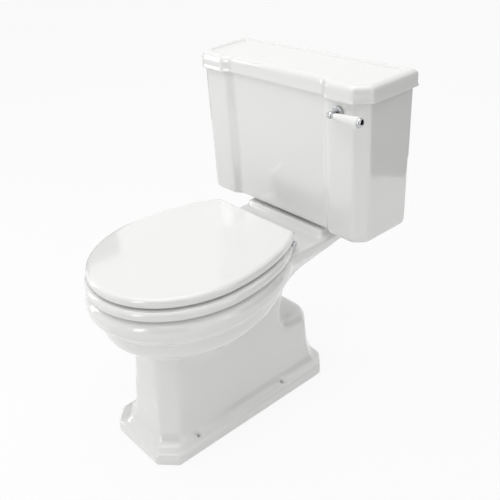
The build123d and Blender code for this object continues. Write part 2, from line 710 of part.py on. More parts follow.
def cistern_lid():
    """Lid with a bead at its foot, a rounded edge, a sunken top and a pocket for the tank's rim."""
    body = extrude(lid_outline(LID_BEAD_OUT, LID_Z), LID_EDGE_H)
    body = fillet(body.edges().group_by(Axis.Z)[-1], LID_TOP_R)
    body = body + extrude(lid_outline(0, LID_Z), LID_BEAD_H)
    body = body - extrude(lid_outline(LID_PANEL_IN, TOP_Z - LID_PANEL_D), LID_PANEL_D)
    rim = Face(tank_outline(TANK_TOP))
    pocket = offset(rim, LID_FIT_GAP, kind=Kind.INTERSECTION)
    body = body - Pos(0, 0, LID_Z - TANK_TOP) * extrude(pocket, TANK_TOP - LID_Z)
    hollow = offset(rim, -LID_SEAT_INSET, kind=Kind.INTERSECTION)
    return body - extrude(hollow, TOP_Z - LID_TOP_T - TANK_TOP)


# ---- between cistern and pan ---------------------------------------------------------------------
def ring_at(outer_r, inner_r, height, at):
    """Upright ring that stands on the point at."""
    return disc(outer_r, height, at) - disc(inner_r, height, at)


def cistern_gasket():
    """Thick doughnut washer that seals the cistern onto the pan's flush hole."""
    return ring_at(GASKET_OUT_R, GASKET_IN_R, TANK_Z - GASKET_Z, (0, CISTERN_AXIS_Y, GASKET_Z))


def at_both_bolts(make):
    """One copy of a fitting on each of the two cistern bolts."""
    return [make((x, CISTERN_AXIS_Y)) for x in (-BOLT_HALF_X, BOLT_HALF_X)]


def cistern_bolts():
    head_z = TANK_FLOOR_Z + CONE_H
    foot_z = DECK_UNDER[1] - BOLT_TAIL

    def bolt(at):
        return disc(BOLT_R, head_z - foot_z, (*at, foot_z)) + disc(BOLT_HEAD_R, BOLT_HEAD_H, (*at, head_z))
    return at_both_bolts(bolt)


def bolt_cone_washers():
    """Rubber cones under the bolt heads, on the tank's floor."""
    def washer(at):
        cone = Pos(*at, TANK_FLOOR_Z) * Cone(CONE_R, BOLT_HEAD_R, CONE_H, align=ON_ITS_FOOT)
        return cone - disc(BOLT_R, CONE_H, (*at, TANK_FLOOR_Z))
    return at_both_bolts(washer)


def bolt_spacers():
    """Soft pads that keep the tank off the pan's platform."""
    return at_both_bolts(lambda at: ring_at(CONE_R, BOLT_HOLE_R, CISTERN_GAP, (*at, PLATFORM_Z)))


def bolt_plates():
    return at_both_bolts(lambda at: ring_at(PLATE_R, BOLT_R, PLATE_T, (*at, DECK_UNDER[1] - PLATE_T)))


def bolt_wing_nuts():
    top_z = DECK_UNDER[1] - PLATE_T

    def wing_nut(at):
        x, y = at
        wings = block((x - WING_SPAN / 2, x + WING_SPAN / 2), (y - WING_T / 2, y + WING_T / 2),
                      (top_z - WING_H, top_z - WING_NUT_H / 2))
        nut = disc(WING_NUT_R, WING_NUT_H, (x, y, top_z - WING_NUT_H)) + wings
        return nut - disc(BOLT_R, WING_H, (x, y, top_z - WING_H))
    return at_both_bolts(wing_nut)


# ---- flush siphon --------------------------------------------------------------------------------
def siphon_body():
    """Threaded tail, flange, down leg, crown and the open-bottomed piston chamber."""
    tail_z = GASKET_Z - SIPHON_TAIL
    here = (0, CISTERN_AXIS_Y)
    there = (SIPHON_X, CISTERN_AXIS_Y)
    chamber_h = CHAMBER_TOP - CHAMBER_BOTTOM
    crown_foot = CHAMBER_TOP - SIPHON_WALL
    crown = block((-SIPHON_LEG_R, SIPHON_X + SIPHON_CHAMBER_R),
                  (CISTERN_AXIS_Y - CROWN_HALF_D, CISTERN_AXIS_Y + CROWN_HALF_D), (crown_foot, CROWN_TOP))
    crown = fillet(crown.faces().sort_by(Axis.Z)[-1].edges().filter_by(Axis.Y), CROWN_END_R)
    body = disc(SIPHON_SHANK_R, SIPHON_FLANGE_Z - tail_z, (*here, tail_z))
    body = body + disc(SIPHON_FLANGE_R, SIPHON_FLANGE_T, (*here, SIPHON_FLANGE_Z))
    body = body + disc(SIPHON_LEG_R, CHAMBER_TOP - SIPHON_FLANGE_Z, (*here, SIPHON_FLANGE_Z))
    body = body + disc(SIPHON_CHAMBER_R, chamber_h, (*there, CHAMBER_BOTTOM)) + crown
    body = body + disc(ROD_BOSS_R, ROD_BOSS_H, (*there, CROWN_TOP))

    inner_half_d = CROWN_HALF_D - SIPHON_WALL
    passage = block((-SIPHON_BORE_R, SIPHON_X + SIPHON_CHAMBER_R - SIPHON_WALL),
                    (CISTERN_AXIS_Y - inner_half_d, CISTERN_AXIS_Y + inner_half_d),
                    (CHAMBER_TOP, CROWN_TOP - SIPHON_WALL))
    ends = passage.faces().sort_by(Axis.Z)[-1].edges().filter_by(Axis.Y)
    passage = fillet(ends, CROWN_END_R - SIPHON_WALL)
    body = body - passage - disc(SIPHON_BORE_R, CHAMBER_TOP - tail_z, (*here, tail_z))
    body = body - disc(SIPHON_CHAMBER_R - SIPHON_WALL, chamber_h - SIPHON_WALL, (*there, CHAMBER_BOTTOM))
    body = body - disc(inner_half_d, SIPHON_WALL, (*there, crown_foot))
    return body - disc(LIFT_ROD_R + ROD_GAP, CROWN_TOP + ROD_BOSS_H - crown_foot, (*there, crown_foot))


def siphon_washer():
    return ring_at(SIPHON_FLANGE_R, SIPHON_SHANK_R, SIPHON_WASHER_T, (0, CISTERN_AXIS_Y, TANK_FLOOR_Z))


def siphon_backnut():
    nut_z = TANK_Z - SIPHON_NUT_H
    outer = Pos(0, CISTERN_AXIS_Y, nut_z) * extrude(RegularPolygon(SIPHON_NUT_R, 8), SIPHON_NUT_H)
    return outer - disc(SIPHON_SHANK_R, SIPHON_NUT_H, (0, CISTERN_AXIS_Y, nut_z))


def siphon_piston():
    """Perforated plate that lifts the water over the crown."""
    radius = SIPHON_CHAMBER_R - SIPHON_WALL - PISTON_GAP
    plate = disc(radius, PISTON_T, (SIPHON_X, CISTERN_AXIS_Y, PISTON_Z))
    plate = plate - disc(LIFT_ROD_R, PISTON_T, (SIPHON_X, CISTERN_AXIS_Y, PISTON_Z))
    for index in range(PISTON_HOLES):
        turn = 2 * math.pi * index / PISTON_HOLES
        x = SIPHON_X + math.cos(turn) * radius * PISTON_HOLE_SHARE
        y = CISTERN_AXIS_Y + math.sin(turn) * radius * PISTON_HOLE_SHARE
        plate = plate - disc(PISTON_HOLE_R, PISTON_T, (x, y, PISTON_Z))
    return plate


def siphon_diaphragm():
    """Thin flap that closes the piston's holes on the way up."""
    radius = SIPHON_CHAMBER_R - SIPHON_WALL - DIAPHRAGM_GAP
    return ring_at(radius, LIFT_ROD_R, DIAPHRAGM_T, (SIPHON_X, CISTERN_AXIS_Y, PISTON_Z + PISTON_T))


def stirrup(x, z, arm_t, up, down):
    """Upright loop round a flat arm that passes through it along X at height z."""
    inner = arm_t / 2 + LINK_SIDE_GAP
    outer = inner + LINK_BAR
    loop = block((x - LINK_T / 2, x + LINK_T / 2), (CISTERN_AXIS_Y - outer, CISTERN_AXIS_Y + outer),
                 (z - down - LINK_BAR, z + up + LINK_BAR))
    return loop - block((x - LINK_T / 2, x + LINK_T / 2), (CISTERN_AXIS_Y - inner, CISTERN_AXIS_Y + inner),
                        (z - down, z + up))


def lift_rod():
    top_z = LINK_Z - LINK_DOWN - LINK_BAR
    return disc(LIFT_ROD_R, top_z - PISTON_Z, (SIPHON_X, CISTERN_AXIS_Y, PISTON_Z))


def lift_link():
    return stirrup(SIPHON_X, LINK_Z, ARM_T, LINK_UP, LINK_DOWN)


# ---- inlet valve, its float and lever --------------------------------------------------------------
def inlet_valve():
    """Threaded tail, flange, column and head, with two ears for the lever's pin."""
    here = (VALVE_X, CISTERN_AXIS_Y)
    tail_z = TANK_Z - VALVE_TAIL
    head_top = VALVE_HEAD_Z + VALVE_HEAD_H
    neck_z = TANK_Z - VALVE_NUT_H
    body = disc(VALVE_SHANK_R, neck_z - tail_z, (*here, tail_z))
    body = body + disc(VALVE_NECK_R, VALVE_FLANGE_Z - neck_z, (*here, neck_z))
    body = body + disc(VALVE_FLANGE_R, VALVE_FLANGE_T, (*here, VALVE_FLANGE_Z))
    body = body + disc(VALVE_COLUMN_R, VALVE_HEAD_Z - VALVE_FLANGE_Z, (*here, VALVE_FLANGE_Z))
    body = body + disc(VALVE_HEAD_R, VALVE_HEAD_H, (*here, VALVE_HEAD_Z))
    body = body - disc(VALVE_BORE_R, VALVE_HEAD_Z - tail_z, (*here, tail_z))
    inner = VALVE_LEVER_T / 2 + VALVE_SIDE_GAP
    for low, high in ((-inner - VALVE_EAR_T, -inner), (inner, inner + VALVE_EAR_T)):
        body = body + block((VALVE_PIVOT_X - VALVE_EAR_HALF, VALVE_PIVOT_X + VALVE_EAR_HALF),
                            (CISTERN_AXIS_Y + low, CISTERN_AXIS_Y + high),
                            (head_top, VALVE_PIVOT_Z + VALVE_EAR_HALF))
    reach = inner + VALVE_EAR_T
    return body - along_y(VALVE_PIN_R, 2 * reach, (VALVE_PIVOT_X, CISTERN_AXIS_Y - reach, VALVE_PIVOT_Z))


def valve_washer():
    return ring_at(VALVE_FLANGE_R, VALVE_NECK_R, VALVE_WASHER_T, (VALVE_X, CISTERN_AXIS_Y, TANK_FLOOR_Z))


def valve_backnut():
    nut_z = TANK_Z - VALVE_NUT_H
    outer = Pos(VALVE_X, CISTERN_AXIS_Y, nut_z) * extrude(RegularPolygon(VALVE_NUT_R, 6), VALVE_NUT_H)
    return outer - disc(VALVE_NECK_R, VALVE_NUT_H, (VALVE_X, CISTERN_AXIS_Y, nut_z))


def valve_pin():
    reach = VALVE_LEVER_T / 2 + VALVE_SIDE_GAP + VALVE_EAR_T
    return along_y(VALVE_PIN_R, 2 * reach, (VALVE_PIVOT_X, CISTERN_AXIS_Y - reach, VALVE_PIVOT_Z))


def valve_lever():
    """Flat lever that hangs low at its free end while the tank is empty."""
    root = -VALVE_LEVER_H
    tip = VALVE_LEVER_RUN / math.cos(math.radians(VALVE_REST_DEG)) + VALVE_LEVER_END
    half_t = VALVE_LEVER_T / 2
    half_h = VALVE_LEVER_H / 2
    bar = block((root, tip), (-half_t, half_t), (-half_h, half_h))
    eye = along_y(VALVE_PIN_R + VALVE_PIN_GAP, VALVE_LEVER_T, (0, -half_t, 0))
    return Pos(VALVE_PIVOT_X, CISTERN_AXIS_Y, VALVE_PIVOT_Z) * Rot(0, VALVE_REST_DEG, 0) * (bar - eye)


def float_cup():
    """Inverted cup that slides on the valve's column, with a lug for its rod."""
    here = (VALVE_X, CISTERN_AXIS_Y)
    hole_r = VALVE_COLUMN_R + FLOAT_GAP
    body = disc(FLOAT_R, FLOAT_H, (*here, FLOAT_Z))
    body = body - ring_at(FLOAT_R - FLOAT_WALL, hole_r + FLOAT_WALL, FLOAT_H - FLOAT_WALL, (*here, FLOAT_Z))
    top_z = FLOAT_Z + FLOAT_H
    body = body + block((VALVE_X + FLOAT_R - FLOAT_LUG_ROOT, FLOAT_ROD_X + FLOAT_LUG_HALF),
                        (CISTERN_AXIS_Y - FLOAT_LUG_HALF, CISTERN_AXIS_Y + FLOAT_LUG_HALF),
                        (top_z - FLOAT_LUG_T, top_z))
    return body - disc(hole_r, FLOAT_H, (*here, FLOAT_Z))


def float_link():
    """Thin rod from the float's lug up to a loop round the valve lever."""
    foot_z = FLOAT_Z + FLOAT_H
    loop_z = FLOAT_LINK_Z - FLOAT_LINK_DOWN - LINK_BAR
    rod = disc(FLOAT_ROD_R, loop_z - foot_z, (FLOAT_ROD_X, CISTERN_AXIS_Y, foot_z))
    return rod + stirrup(FLOAT_ROD_X, FLOAT_LINK_Z, VALVE_LEVER_T, FLOAT_LINK_UP, FLOAT_LINK_DOWN)


# ---- flush lever -----------------------------------------------------------------------------------
def lever_bush_end():
    """Y of the inside face that the lever's nut is screwed against."""
    return tank_inner_front(LEVER_Z - BUSH_NUT_R)


def lever_rose():
    """Stepped rose in front of the tank and the threaded bush behind it."""
    back = rose_back()
    body = along_y(ROSE_R, ROSE_T, (LEVER_X, back - ROSE_T, LEVER_Z))
    body = body + along_y(ROSE_STEP_R, ROSE_STEP_T, (LEVER_X, back - ROSE_T - ROSE_STEP_T, LEVER_Z))
    body = body + along_y(BUSH_R, lever_bush_end() + BUSH_NUT_T - back, (LEVER_X, back, LEVER_Z))
    front = back - ROSE_T - ROSE_STEP_T
    length = lever_bush_end() + BUSH_NUT_T - front
    return body - along_y(SPINDLE_R + SPINDLE_GAP, length, (LEVER_X, front, LEVER_Z))


def lever_nut():
    outer = along_y(BUSH_NUT_R, BUSH_NUT_T, (LEVER_X, lever_bush_end(), LEVER_Z))
    return outer - along_y(BUSH_R, BUSH_NUT_T, (LEVER_X, lever_bush_end(), LEVER_Z))


def crank_y():
    return rose_back() - CRANK_REACH


def lever_spindle():
    """Spindle through the tank's front, with the ball and collar that hold the grip."""
    end_y = CISTERN_AXIS_Y + ARM_HUB_T / 2 + SPINDLE_END
    body = along_y(SPINDLE_R, end_y - crank_y(), (LEVER_X, crank_y(), LEVER_Z))
    body = body + Pos(LEVER_X, crank_y(), LEVER_Z) * Sphere(CRANK_BALL_R)
    return body + along_x(GRIP_COLLAR_R, GRIP_START, (LEVER_X, crank_y(), LEVER_Z))


def lever_grip():
    """Tapered ceramic handle, bored for the pin that holds it."""
    start = (LEVER_X + GRIP_START, crank_y(), LEVER_Z)
    taper = Cone(GRIP_THIN_R, GRIP_THICK_R, GRIP_LEN, align=ON_ITS_FOOT)
    taper = Pos(*start) * Rot(0, RIGHT_ANGLE, 0) * taper
    return taper - along_x(GRIP_PIN_R + GRIP_PIN_GAP, GRIP_LEN, start)


def lever_grip_cap():
    """Domed end cap with the long pin that runs through the grip to the collar."""
    start_x = LEVER_X + GRIP_START
    cap = along_x(GRIP_CAP_R, GRIP_CAP_T, (start_x + GRIP_LEN, crank_y(), LEVER_Z))
    cap = fillet(cap.edges().group_by(Axis.X)[-1], GRIP_CAP_ROUND)
    return cap + along_x(GRIP_PIN_R, GRIP_LEN, (start_x, crank_y(), LEVER_Z))


def flush_arm():
    """Arm inside the tank, clamped on the spindle, that hangs low at rest."""
    length = ROD_RUN / math.cos(math.radians(ARM_REST_DEG)) + ARM_PAST_LINK
    body = block((-length, 0), (-ARM_T / 2, ARM_T / 2), (-ARM_H / 2, ARM_H / 2))
    body = body + along_y(ARM_HUB_R, ARM_HUB_T, (0, -ARM_HUB_T / 2, 0))
    body = body - along_y(SPINDLE_R, ARM_HUB_T, (0, -ARM_HUB_T / 2, 0))
    body = body - disc(SET_SCREW_R, ARM_HUB_R, (0, 0, 0))
    return Pos(LEVER_X, CISTERN_AXIS_Y, LEVER_Z) * Rot(0, -ARM_REST_DEG, 0) * body


def arm_screw():
    reach = ARM_HUB_R + SET_SCREW_OUT
    screw = disc(SET_SCREW_R, reach, (0, 0, 0)) - along_y(SPINDLE_R, ARM_HUB_T, (0, -ARM_HUB_T / 2, 0))
    return Pos(LEVER_X, CISTERN_AXIS_Y, LEVER_Z) * Rot(0, -ARM_REST_DEG, 0) * screw


# ---- seat, lid and hinge ---------------------------------------------------------------------------
def seat_slab(half_w, front, back_run, rear, z, thickness):
    """Board with the seat's plan: an egg cut straight across at the rear, corners rounded."""
    plan = Face(egg(half_w, front, RIM_MID_Y, back_run, z))
    keep = Pos(0, 0, z) * make_face(Polyline((-half_w, front), (half_w, front), (half_w, rear),
                                             (-half_w, rear), close=True).edges())
    plan = plan & keep
    corners = [v for v in plan.vertices() if abs(v.Y - rear) < SEAT_EDGE_R]
    plan = fillet(corners, SEAT_CORNER_R)
    return extrude(plan, thickness)


def round_both_faces(body):
    """Round every edge of the board's two flat faces."""
    edges = [edge for edge in body.edges() if edge.bounding_box().size.Z < SEAT_GAP]
    return fillet(edges, SEAT_EDGE_R)


def screw_holes(x_range, z, height):
    """Screws or their holes through a hinge bracket, as plain cylinders."""
    x = sum(x_range) / 2
    plate_y = HINGE_Y - BRACKET_LEN
    return [disc(SCREW_R, height, (x, plate_y + along, z)) for along in BRACKET_SCREWS]


def seat_ring():
    """The seat: a thick ring with fully rounded edges."""
    body = seat_slab(SEAT_HALF_W, SEAT_FRONT, SEAT_BACK_RUN, SEAT_REAR, SEAT_Z, SEAT_T)
    opening = egg(SEAT_OPEN_HALF_W, SEAT_OPEN_FRONT, SEAT_OPEN_MID, SEAT_OPEN_REAR - SEAT_OPEN_MID, SEAT_Z)
    body = body - extrude(Face(opening), SEAT_T)
    body = round_both_faces(body)
    for hole in screw_holes(SEAT_BARREL_X, SEAT_Z, SCREW_LEN - BRACKET_T):
        for side in mirrored_pair(hole):
            body = body - side
    return body


def seat_lid():
    """The lid: a solid board with fully rounded edges."""
    body = seat_slab(COVER_HALF_W, COVER_FRONT, COVER_BACK_RUN, COVER_REAR, COVER_Z, LID_T)
    body = round_both_faces(body)
    for hole in [*screw_holes(COVER_BARREL_X, COVER_Z, SCREW_LEN - BRACKET_T), ball_neck()]:
        for side in mirrored_pair(hole):
            body = body - side
    return body


def hinge_posts():
    """Posts with a broad foot; a stud under each reaches into the pan's deck."""
    foot_z = RIM_Z + POST_WASHER_T
    at = (POST_HALF_X, HINGE_Y)
    body = disc(POST_BASE_R, POST_BASE_T, (*at, foot_z)) + disc(POST_R, HINGE_Z - foot_z, (*at, foot_z))
    body = body + Pos(*at, HINGE_Z) * Sphere(POST_R)
    body = body + disc(STUD_R, STUD_LEN, (*at, foot_z - STUD_LEN))
    body = body - along_x(BAR_R, 2 * POST_R, (POST_HALF_X - POST_R, HINGE_Y, HINGE_Z))
    return mirrored_pair(body)


def post_washers():
    return mirrored_pair(ring_at(POST_BASE_R, STUD_R, POST_WASHER_T, (POST_HALF_X, HINGE_Y, RIM_Z)))


def stud_sleeves():
    """Expanding sleeves that grip the blind holes in the pan."""
    length = STUD_LEN - POST_WASHER_T
    return mirrored_pair(ring_at(SLEEVE_R, STUD_R, length, (POST_HALF_X, HINGE_Y, RIM_Z - length)))


def hinge_bar():
    return along_x(BAR_R, 2 * BAR_HALF_L, (-BAR_HALF_L, HINGE_Y, HINGE_Z))


def hinge_end_discs():
    return mirrored_pair(along_x(END_DISC_R, END_DISC_T, (BAR_HALF_L, HINGE_Y, HINGE_Z)))


def bracket(x_range, plate_z):
    """Barrel on the hinge bar, a web behind the board and a plate with two countersunk holes."""
    low, high = x_range
    width = high - low
    step = math.copysign(BARREL_R, plate_z - HINGE_Z)
    body = along_x(BARREL_R, width, (low, HINGE_Y, HINGE_Z))
    body = body + block(x_range, (WEB_Y, HINGE_Y), tuple(sorted((HINGE_Z, HINGE_Z + step))))
    web_end = plate_z + BRACKET_T if step > 0 else plate_z
    body = body + block(x_range, (WEB_Y, WEB_Y + BRACKET_WEB_T), tuple(sorted((HINGE_Z, web_end))))
    plate_y = HINGE_Y - BRACKET_LEN
    body = body + block(x_range, (plate_y, WEB_Y + BRACKET_WEB_T), (plate_z, plate_z + BRACKET_T))
    flare_x = (low - BRACKET_FLARE, high + BRACKET_FLARE)
    body = body + block(flare_x, (plate_y, plate_y + sum(BRACKET_SCREWS)), (plate_z, plate_z + BRACKET_T))
    for screw in bracket_screws(x_range, plate_z):
        body = body - screw
    return body - along_x(BAR_R + BARREL_GAP, width, (low, HINGE_Y, HINGE_Z))


def bracket_screws(x_range, plate_z):
    """Countersunk screws up through a bracket's plate into the board above it."""
    x = sum(x_range) / 2
    plate_y = HINGE_Y - BRACKET_LEN
    screws = []
    for along in BRACKET_SCREWS:
        head = Pos(x, plate_y + along, plate_z) * Cone(SCREW_HEAD_R, SCREW_R, BRACKET_T, align=ON_ITS_FOOT)
        screws.append(head + disc(SCREW_R, SCREW_LEN, (x, plate_y + along, plate_z)))
    return screws


def seat_brackets():
    return mirrored_pair(bracket(SEAT_BARREL_X, SEAT_Z - BRACKET_T))


def seat_bracket_screws():
    made = []
    for screw in bracket_screws(SEAT_BARREL_X, SEAT_Z - BRACKET_T):
        made.extend(mirrored_pair(screw))
    return made


def lid_brackets():
    return mirrored_pair(bracket(COVER_BARREL_X, COVER_Z - BRACKET_T))


def lid_bracket_screws():
    made = []
    for screw in bracket_screws(COVER_BARREL_X, COVER_Z - BRACKET_T):
        made.extend(mirrored_pair(screw))
    return made


def ball_neck():
    """The ball's neck, set into the lid's rear edge."""
    neck_y = COVER_REAR - BALL_NECK_IN
    return along_y(BALL_NECK_R, BALL_NECK_IN + BALL_BACK, (BALL_X, neck_y, COVER_Z + BALL_UP))


def lid_ball_ends():
    """Small balls on necks at the rear edge of the lid."""
    ball = Pos(BALL_X, COVER_REAR + BALL_BACK, COVER_Z + BALL_UP) * Sphere(BALL_R)
    return mirrored_pair(ball_neck() + ball)


def buffers(height, z):
    made = []
    for x, y in BUFFER_PLACES:
        made.extend(mirrored_pair(disc(BUFFER_R, height, (x, y, z))))
    return made


def seat_buffers():
    return buffers(SEAT_GAP - BUFFER_GAP, RIM_Z + BUFFER_GAP)


def lid_buffers():
    return buffers(LID_GAP - BUFFER_GAP, SEAT_TOP + BUFFER_GAP)


NODES = {
    "pan_foot": pan_foot_casting,
    "pan_bowl": pan_bowl_casting,
    "pan_rim": pan_rim_casting,
    "cistern_tank": cistern_tank,
    "cistern_lid": cistern_lid,
    "cistern_gasket": cistern_gasket,
    "cistern_bolts": cistern_bolts,
    "bolt_cone_washers": bolt_cone_washers,
    "bolt_spacers": bolt_spacers,
    "bolt_plates": bolt_plates,
    "bolt_wing_nuts": bolt_wing_nuts,
    "siphon_body": siphon_body,
    "siphon_washer": siphon_washer,
    "siphon_backnut": siphon_backnut,
    "siphon_piston": siphon_piston,
    "siphon_diaphragm": siphon_diaphragm,
    "lift_rod": lift_rod,
    "lift_link": lift_link,
    "inlet_valve": inlet_valve,
    "valve_washer": valve_washer,
    "valve_backnut": valve_backnut,
    "valve_pin": valve_pin,
    "valve_lever": valve_lever,
    "float_cup": float_cup,
    "float_link": float_link,
    "lever_rose": lever_rose,
    "lever_nut": lever_nut,
    "lever_spindle": lever_spindle,
    "lever_grip": lever_grip,
    "lever_grip_cap": lever_grip_cap,
    "flush_arm": flush_arm,
    "arm_screw": arm_screw,
    "seat_ring": seat_ring,
    "seat_lid": seat_lid,
    "hinge_posts": hinge_posts,
    "post_washers": post_washers,
    "stud_sleeves": stud_sleeves,
    "hinge_bar": hinge_bar,
    "hinge_end_discs": hinge_end_discs,
    "seat_brackets": seat_brackets,
    "seat_bracket_screws": seat_bracket_screws,
    "lid_brackets": lid_brackets,
    "lid_bracket_screws": lid_bracket_screws,
    "lid_ball_ends": lid_ball_ends,
    "seat_buffers": seat_buffers,
    "lid_buffers": lid_buffers,
}

os.makedirs("parts", exist_ok=True)
for node_name, build_node in NODES.items():
    save(node_name, build_node())
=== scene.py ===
import json
import math

import bmesh
import bpy
import numpy as np
from mathutils import Matrix, Vector

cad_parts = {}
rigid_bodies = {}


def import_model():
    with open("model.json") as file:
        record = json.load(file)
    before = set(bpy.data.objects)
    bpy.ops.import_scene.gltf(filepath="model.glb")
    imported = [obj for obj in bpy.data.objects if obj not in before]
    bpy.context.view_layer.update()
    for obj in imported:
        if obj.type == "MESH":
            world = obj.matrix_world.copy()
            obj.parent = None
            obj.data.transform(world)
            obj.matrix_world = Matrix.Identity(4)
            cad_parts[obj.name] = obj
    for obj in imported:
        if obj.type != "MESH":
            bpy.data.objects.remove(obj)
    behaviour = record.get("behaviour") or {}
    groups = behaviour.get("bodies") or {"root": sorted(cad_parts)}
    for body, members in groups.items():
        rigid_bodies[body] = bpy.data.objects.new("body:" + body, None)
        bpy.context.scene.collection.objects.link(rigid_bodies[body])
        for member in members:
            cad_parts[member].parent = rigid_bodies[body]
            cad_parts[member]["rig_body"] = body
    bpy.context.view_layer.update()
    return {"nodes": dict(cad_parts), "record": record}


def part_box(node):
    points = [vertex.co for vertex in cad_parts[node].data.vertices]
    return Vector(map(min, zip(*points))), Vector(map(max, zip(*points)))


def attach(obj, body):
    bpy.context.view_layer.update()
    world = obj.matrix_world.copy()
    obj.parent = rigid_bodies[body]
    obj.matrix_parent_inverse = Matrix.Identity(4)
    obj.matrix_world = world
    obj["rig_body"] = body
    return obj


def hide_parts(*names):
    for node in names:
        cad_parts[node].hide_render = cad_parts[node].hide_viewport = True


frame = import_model()
scene = bpy.context.scene


# ---- camera ---------------------------------------------------------------------------------------
# Not quite two metres off, to the front right and above, rolled a little, with the frame shifted off
# its axis.
CAMERA_AT = Vector((1.1095, -0.8283, 1.2264))
CAMERA_AZIMUTH = math.radians(54.43)
CAMERA_ELEVATION = math.radians(28.77)
CAMERA_ROLL = math.radians(5.85)
CAMERA_FOCAL_PX = 717.8
CAMERA_CENTRE_PX = (-60.6, -12.1)
CAMERA_REACH = 20
FRAME_PX = 500

camera = bpy.data.objects.new("camera", bpy.data.cameras.new("camera"))
scene.collection.objects.link(camera)
back = Vector((math.sin(CAMERA_AZIMUTH) * math.cos(CAMERA_ELEVATION),
               -math.cos(CAMERA_AZIMUTH) * math.cos(CAMERA_ELEVATION), math.sin(CAMERA_ELEVATION)))
right = Vector((0, 0, 1)).cross(back).normalized()
up = back.cross(right)
rolled_right = right * math.cos(CAMERA_ROLL) - up * math.sin(CAMERA_ROLL)
rolled_up = up * math.cos(CAMERA_ROLL) + right * math.sin(CAMERA_ROLL)
facing = Matrix((rolled_right, rolled_up, back)).transposed().to_4x4()
camera.matrix_world = Matrix.Translation(CAMERA_AT) @ facing
camera.data.lens = CAMERA_FOCAL_PX / FRAME_PX * camera.data.sensor_width
camera.data.shift_x = -CAMERA_CENTRE_PX[0] / FRAME_PX
camera.data.shift_y = CAMERA_CENTRE_PX[1] / FRAME_PX
camera.data.clip_end = CAMERA_REACH
scene.camera = camera


# ---- studio ---------------------------------------------------------------------------------------
# A pale floor under four soft lamps: a wide one overhead, one on the left, one in front and a weak one
# on the right. The world grows brighter towards the zenith, and looks white where it is seen directly,
# mirrored or through glass.
def area_light(name, at, aim, size, power):
    """A rectangular lamp at one point that looks at another."""
    light = bpy.data.objects.new(name, bpy.data.lights.new(name, "AREA"))
    light.data.shape = "RECTANGLE"
    light.data.size, light.data.size_y = size
    light.data.energy = power
    light.location = at
    light.rotation_euler = (Vector(aim) - Vector(at)).to_track_quat("-Z", "Y").to_euler()
    scene.collection.objects.link(light)


area_light("overhead", at=(0.0, -0.2, 2.5), aim=(0.0, 0.05, 0.3), size=(1.9, 1.9), power=18)
area_light("left_window", at=(-2.1, -1.3, 1.0), aim=(0.0, 0.05, 0.40), size=(0.4, 1.5), power=11)
area_light("front_window", at=(0.6, -2.5, 1.2), aim=(0.0, 0.05, 0.35), size=(0.5, 1.5), power=9)
area_light("right_side", at=(2.4, 0.6, 1.2), aim=(0.0, 0.1, 0.4), size=(0.4, 1.4), power=2.0)


def seen_white(tree):
    """A socket that is 1 for rays from the camera, off a mirror or through glass, and 0 for others."""
    path = tree.nodes.new("ShaderNodeLightPath")
    seen = path.outputs["Is Camera Ray"]
    for ray in ("Is Glossy Ray", "Is Transmission Ray"):
        larger = tree.nodes.new("ShaderNodeMath")
        larger.operation = "MAXIMUM"
        tree.links.new(seen, larger.inputs[0])
        tree.links.new(path.outputs[ray], larger.inputs[1])
        seen = larger.outputs[0]
    return seen


# The world's strength from the horizon up to a direction whose sine of elevation is WORLD_RISE.
WORLD_AT_HORIZON = 0.18
WORLD_OVERHEAD = 0.74
WORLD_RISE = 0.75
WORLD_SEEN = 1.0

world = bpy.data.worlds.new("studio")
scene.world = world
world.use_nodes = True
room = world.node_tree
direction = room.nodes.new("ShaderNodeTexCoord")
direction_parts = room.nodes.new("ShaderNodeSeparateXYZ")
strength = room.nodes.new("ShaderNodeMapRange")
strength.inputs["From Min"].default_value = 0.0
strength.inputs["From Max"].default_value = WORLD_RISE
strength.inputs["To Min"].default_value = WORLD_AT_HORIZON
strength.inputs["To Max"].default_value = WORLD_OVERHEAD
choice = room.nodes.new("ShaderNodeMix")
choice.inputs["B"].default_value = WORLD_SEEN
room.links.new(direction.outputs["Generated"], direction_parts.inputs[0])
room.links.new(direction_parts.outputs["Z"], strength.inputs["Value"])
room.links.new(seen_white(room), choice.inputs["Factor"])
room.links.new(strength.outputs["Result"], choice.inputs["A"])
room.links.new(choice.outputs["Result"], room.nodes["Background"].inputs["Strength"])
room.nodes["Background"].inputs["Color"].default_value = (1.0, 1.0, 1.0, 1)
scene.view_settings.view_transform = "Standard"

# Where the floor is seen it is mostly plain white, and the rest of it keeps the object's shadow.
FLOOR_HALF = 8.0
FLOOR_COLOUR = (0.86, 0.86, 0.86, 1)
FLOOR_ROUGHNESS = 0.9
FLOOR_WHITE_SHARE = 0.88

floor_mesh = bpy.data.meshes.new("floor")
floor_mesh.from_pydata([(-FLOOR_HALF, -FLOOR_HALF, 0), (FLOOR_HALF, -FLOOR_HALF, 0),
                        (FLOOR_HALF, FLOOR_HALF, 0), (-FLOOR_HALF, FLOOR_HALF, 0)], [], [(0, 1, 2, 3)])
floor = bpy.data.objects.new("floor", floor_mesh)
scene.collection.objects.link(floor)
floor_paint = bpy.data.materials.new("pale_floor")
floor_paint.use_nodes = True
paint = floor_paint.node_tree
paint.nodes["Principled BSDF"].inputs["Base Color"].default_value = FLOOR_COLOUR
paint.nodes["Principled BSDF"].inputs["Roughness"].default_value = FLOOR_ROUGHNESS
white = paint.nodes.new("ShaderNodeEmission")
white.inputs["Color"].default_value = (1, 1, 1, 1)
share = paint.nodes.new("ShaderNodeMath")
share.operation = "MULTIPLY"
share.inputs[1].default_value = FLOOR_WHITE_SHARE
mix = paint.nodes.new("ShaderNodeMixShader")
paint.links.new(seen_white(paint), share.inputs[0])
paint.links.new(share.outputs[0], mix.inputs["Fac"])
paint.links.new(paint.nodes["Principled BSDF"].outputs[0], mix.inputs[1])
paint.links.new(white.outputs[0], mix.inputs[2])
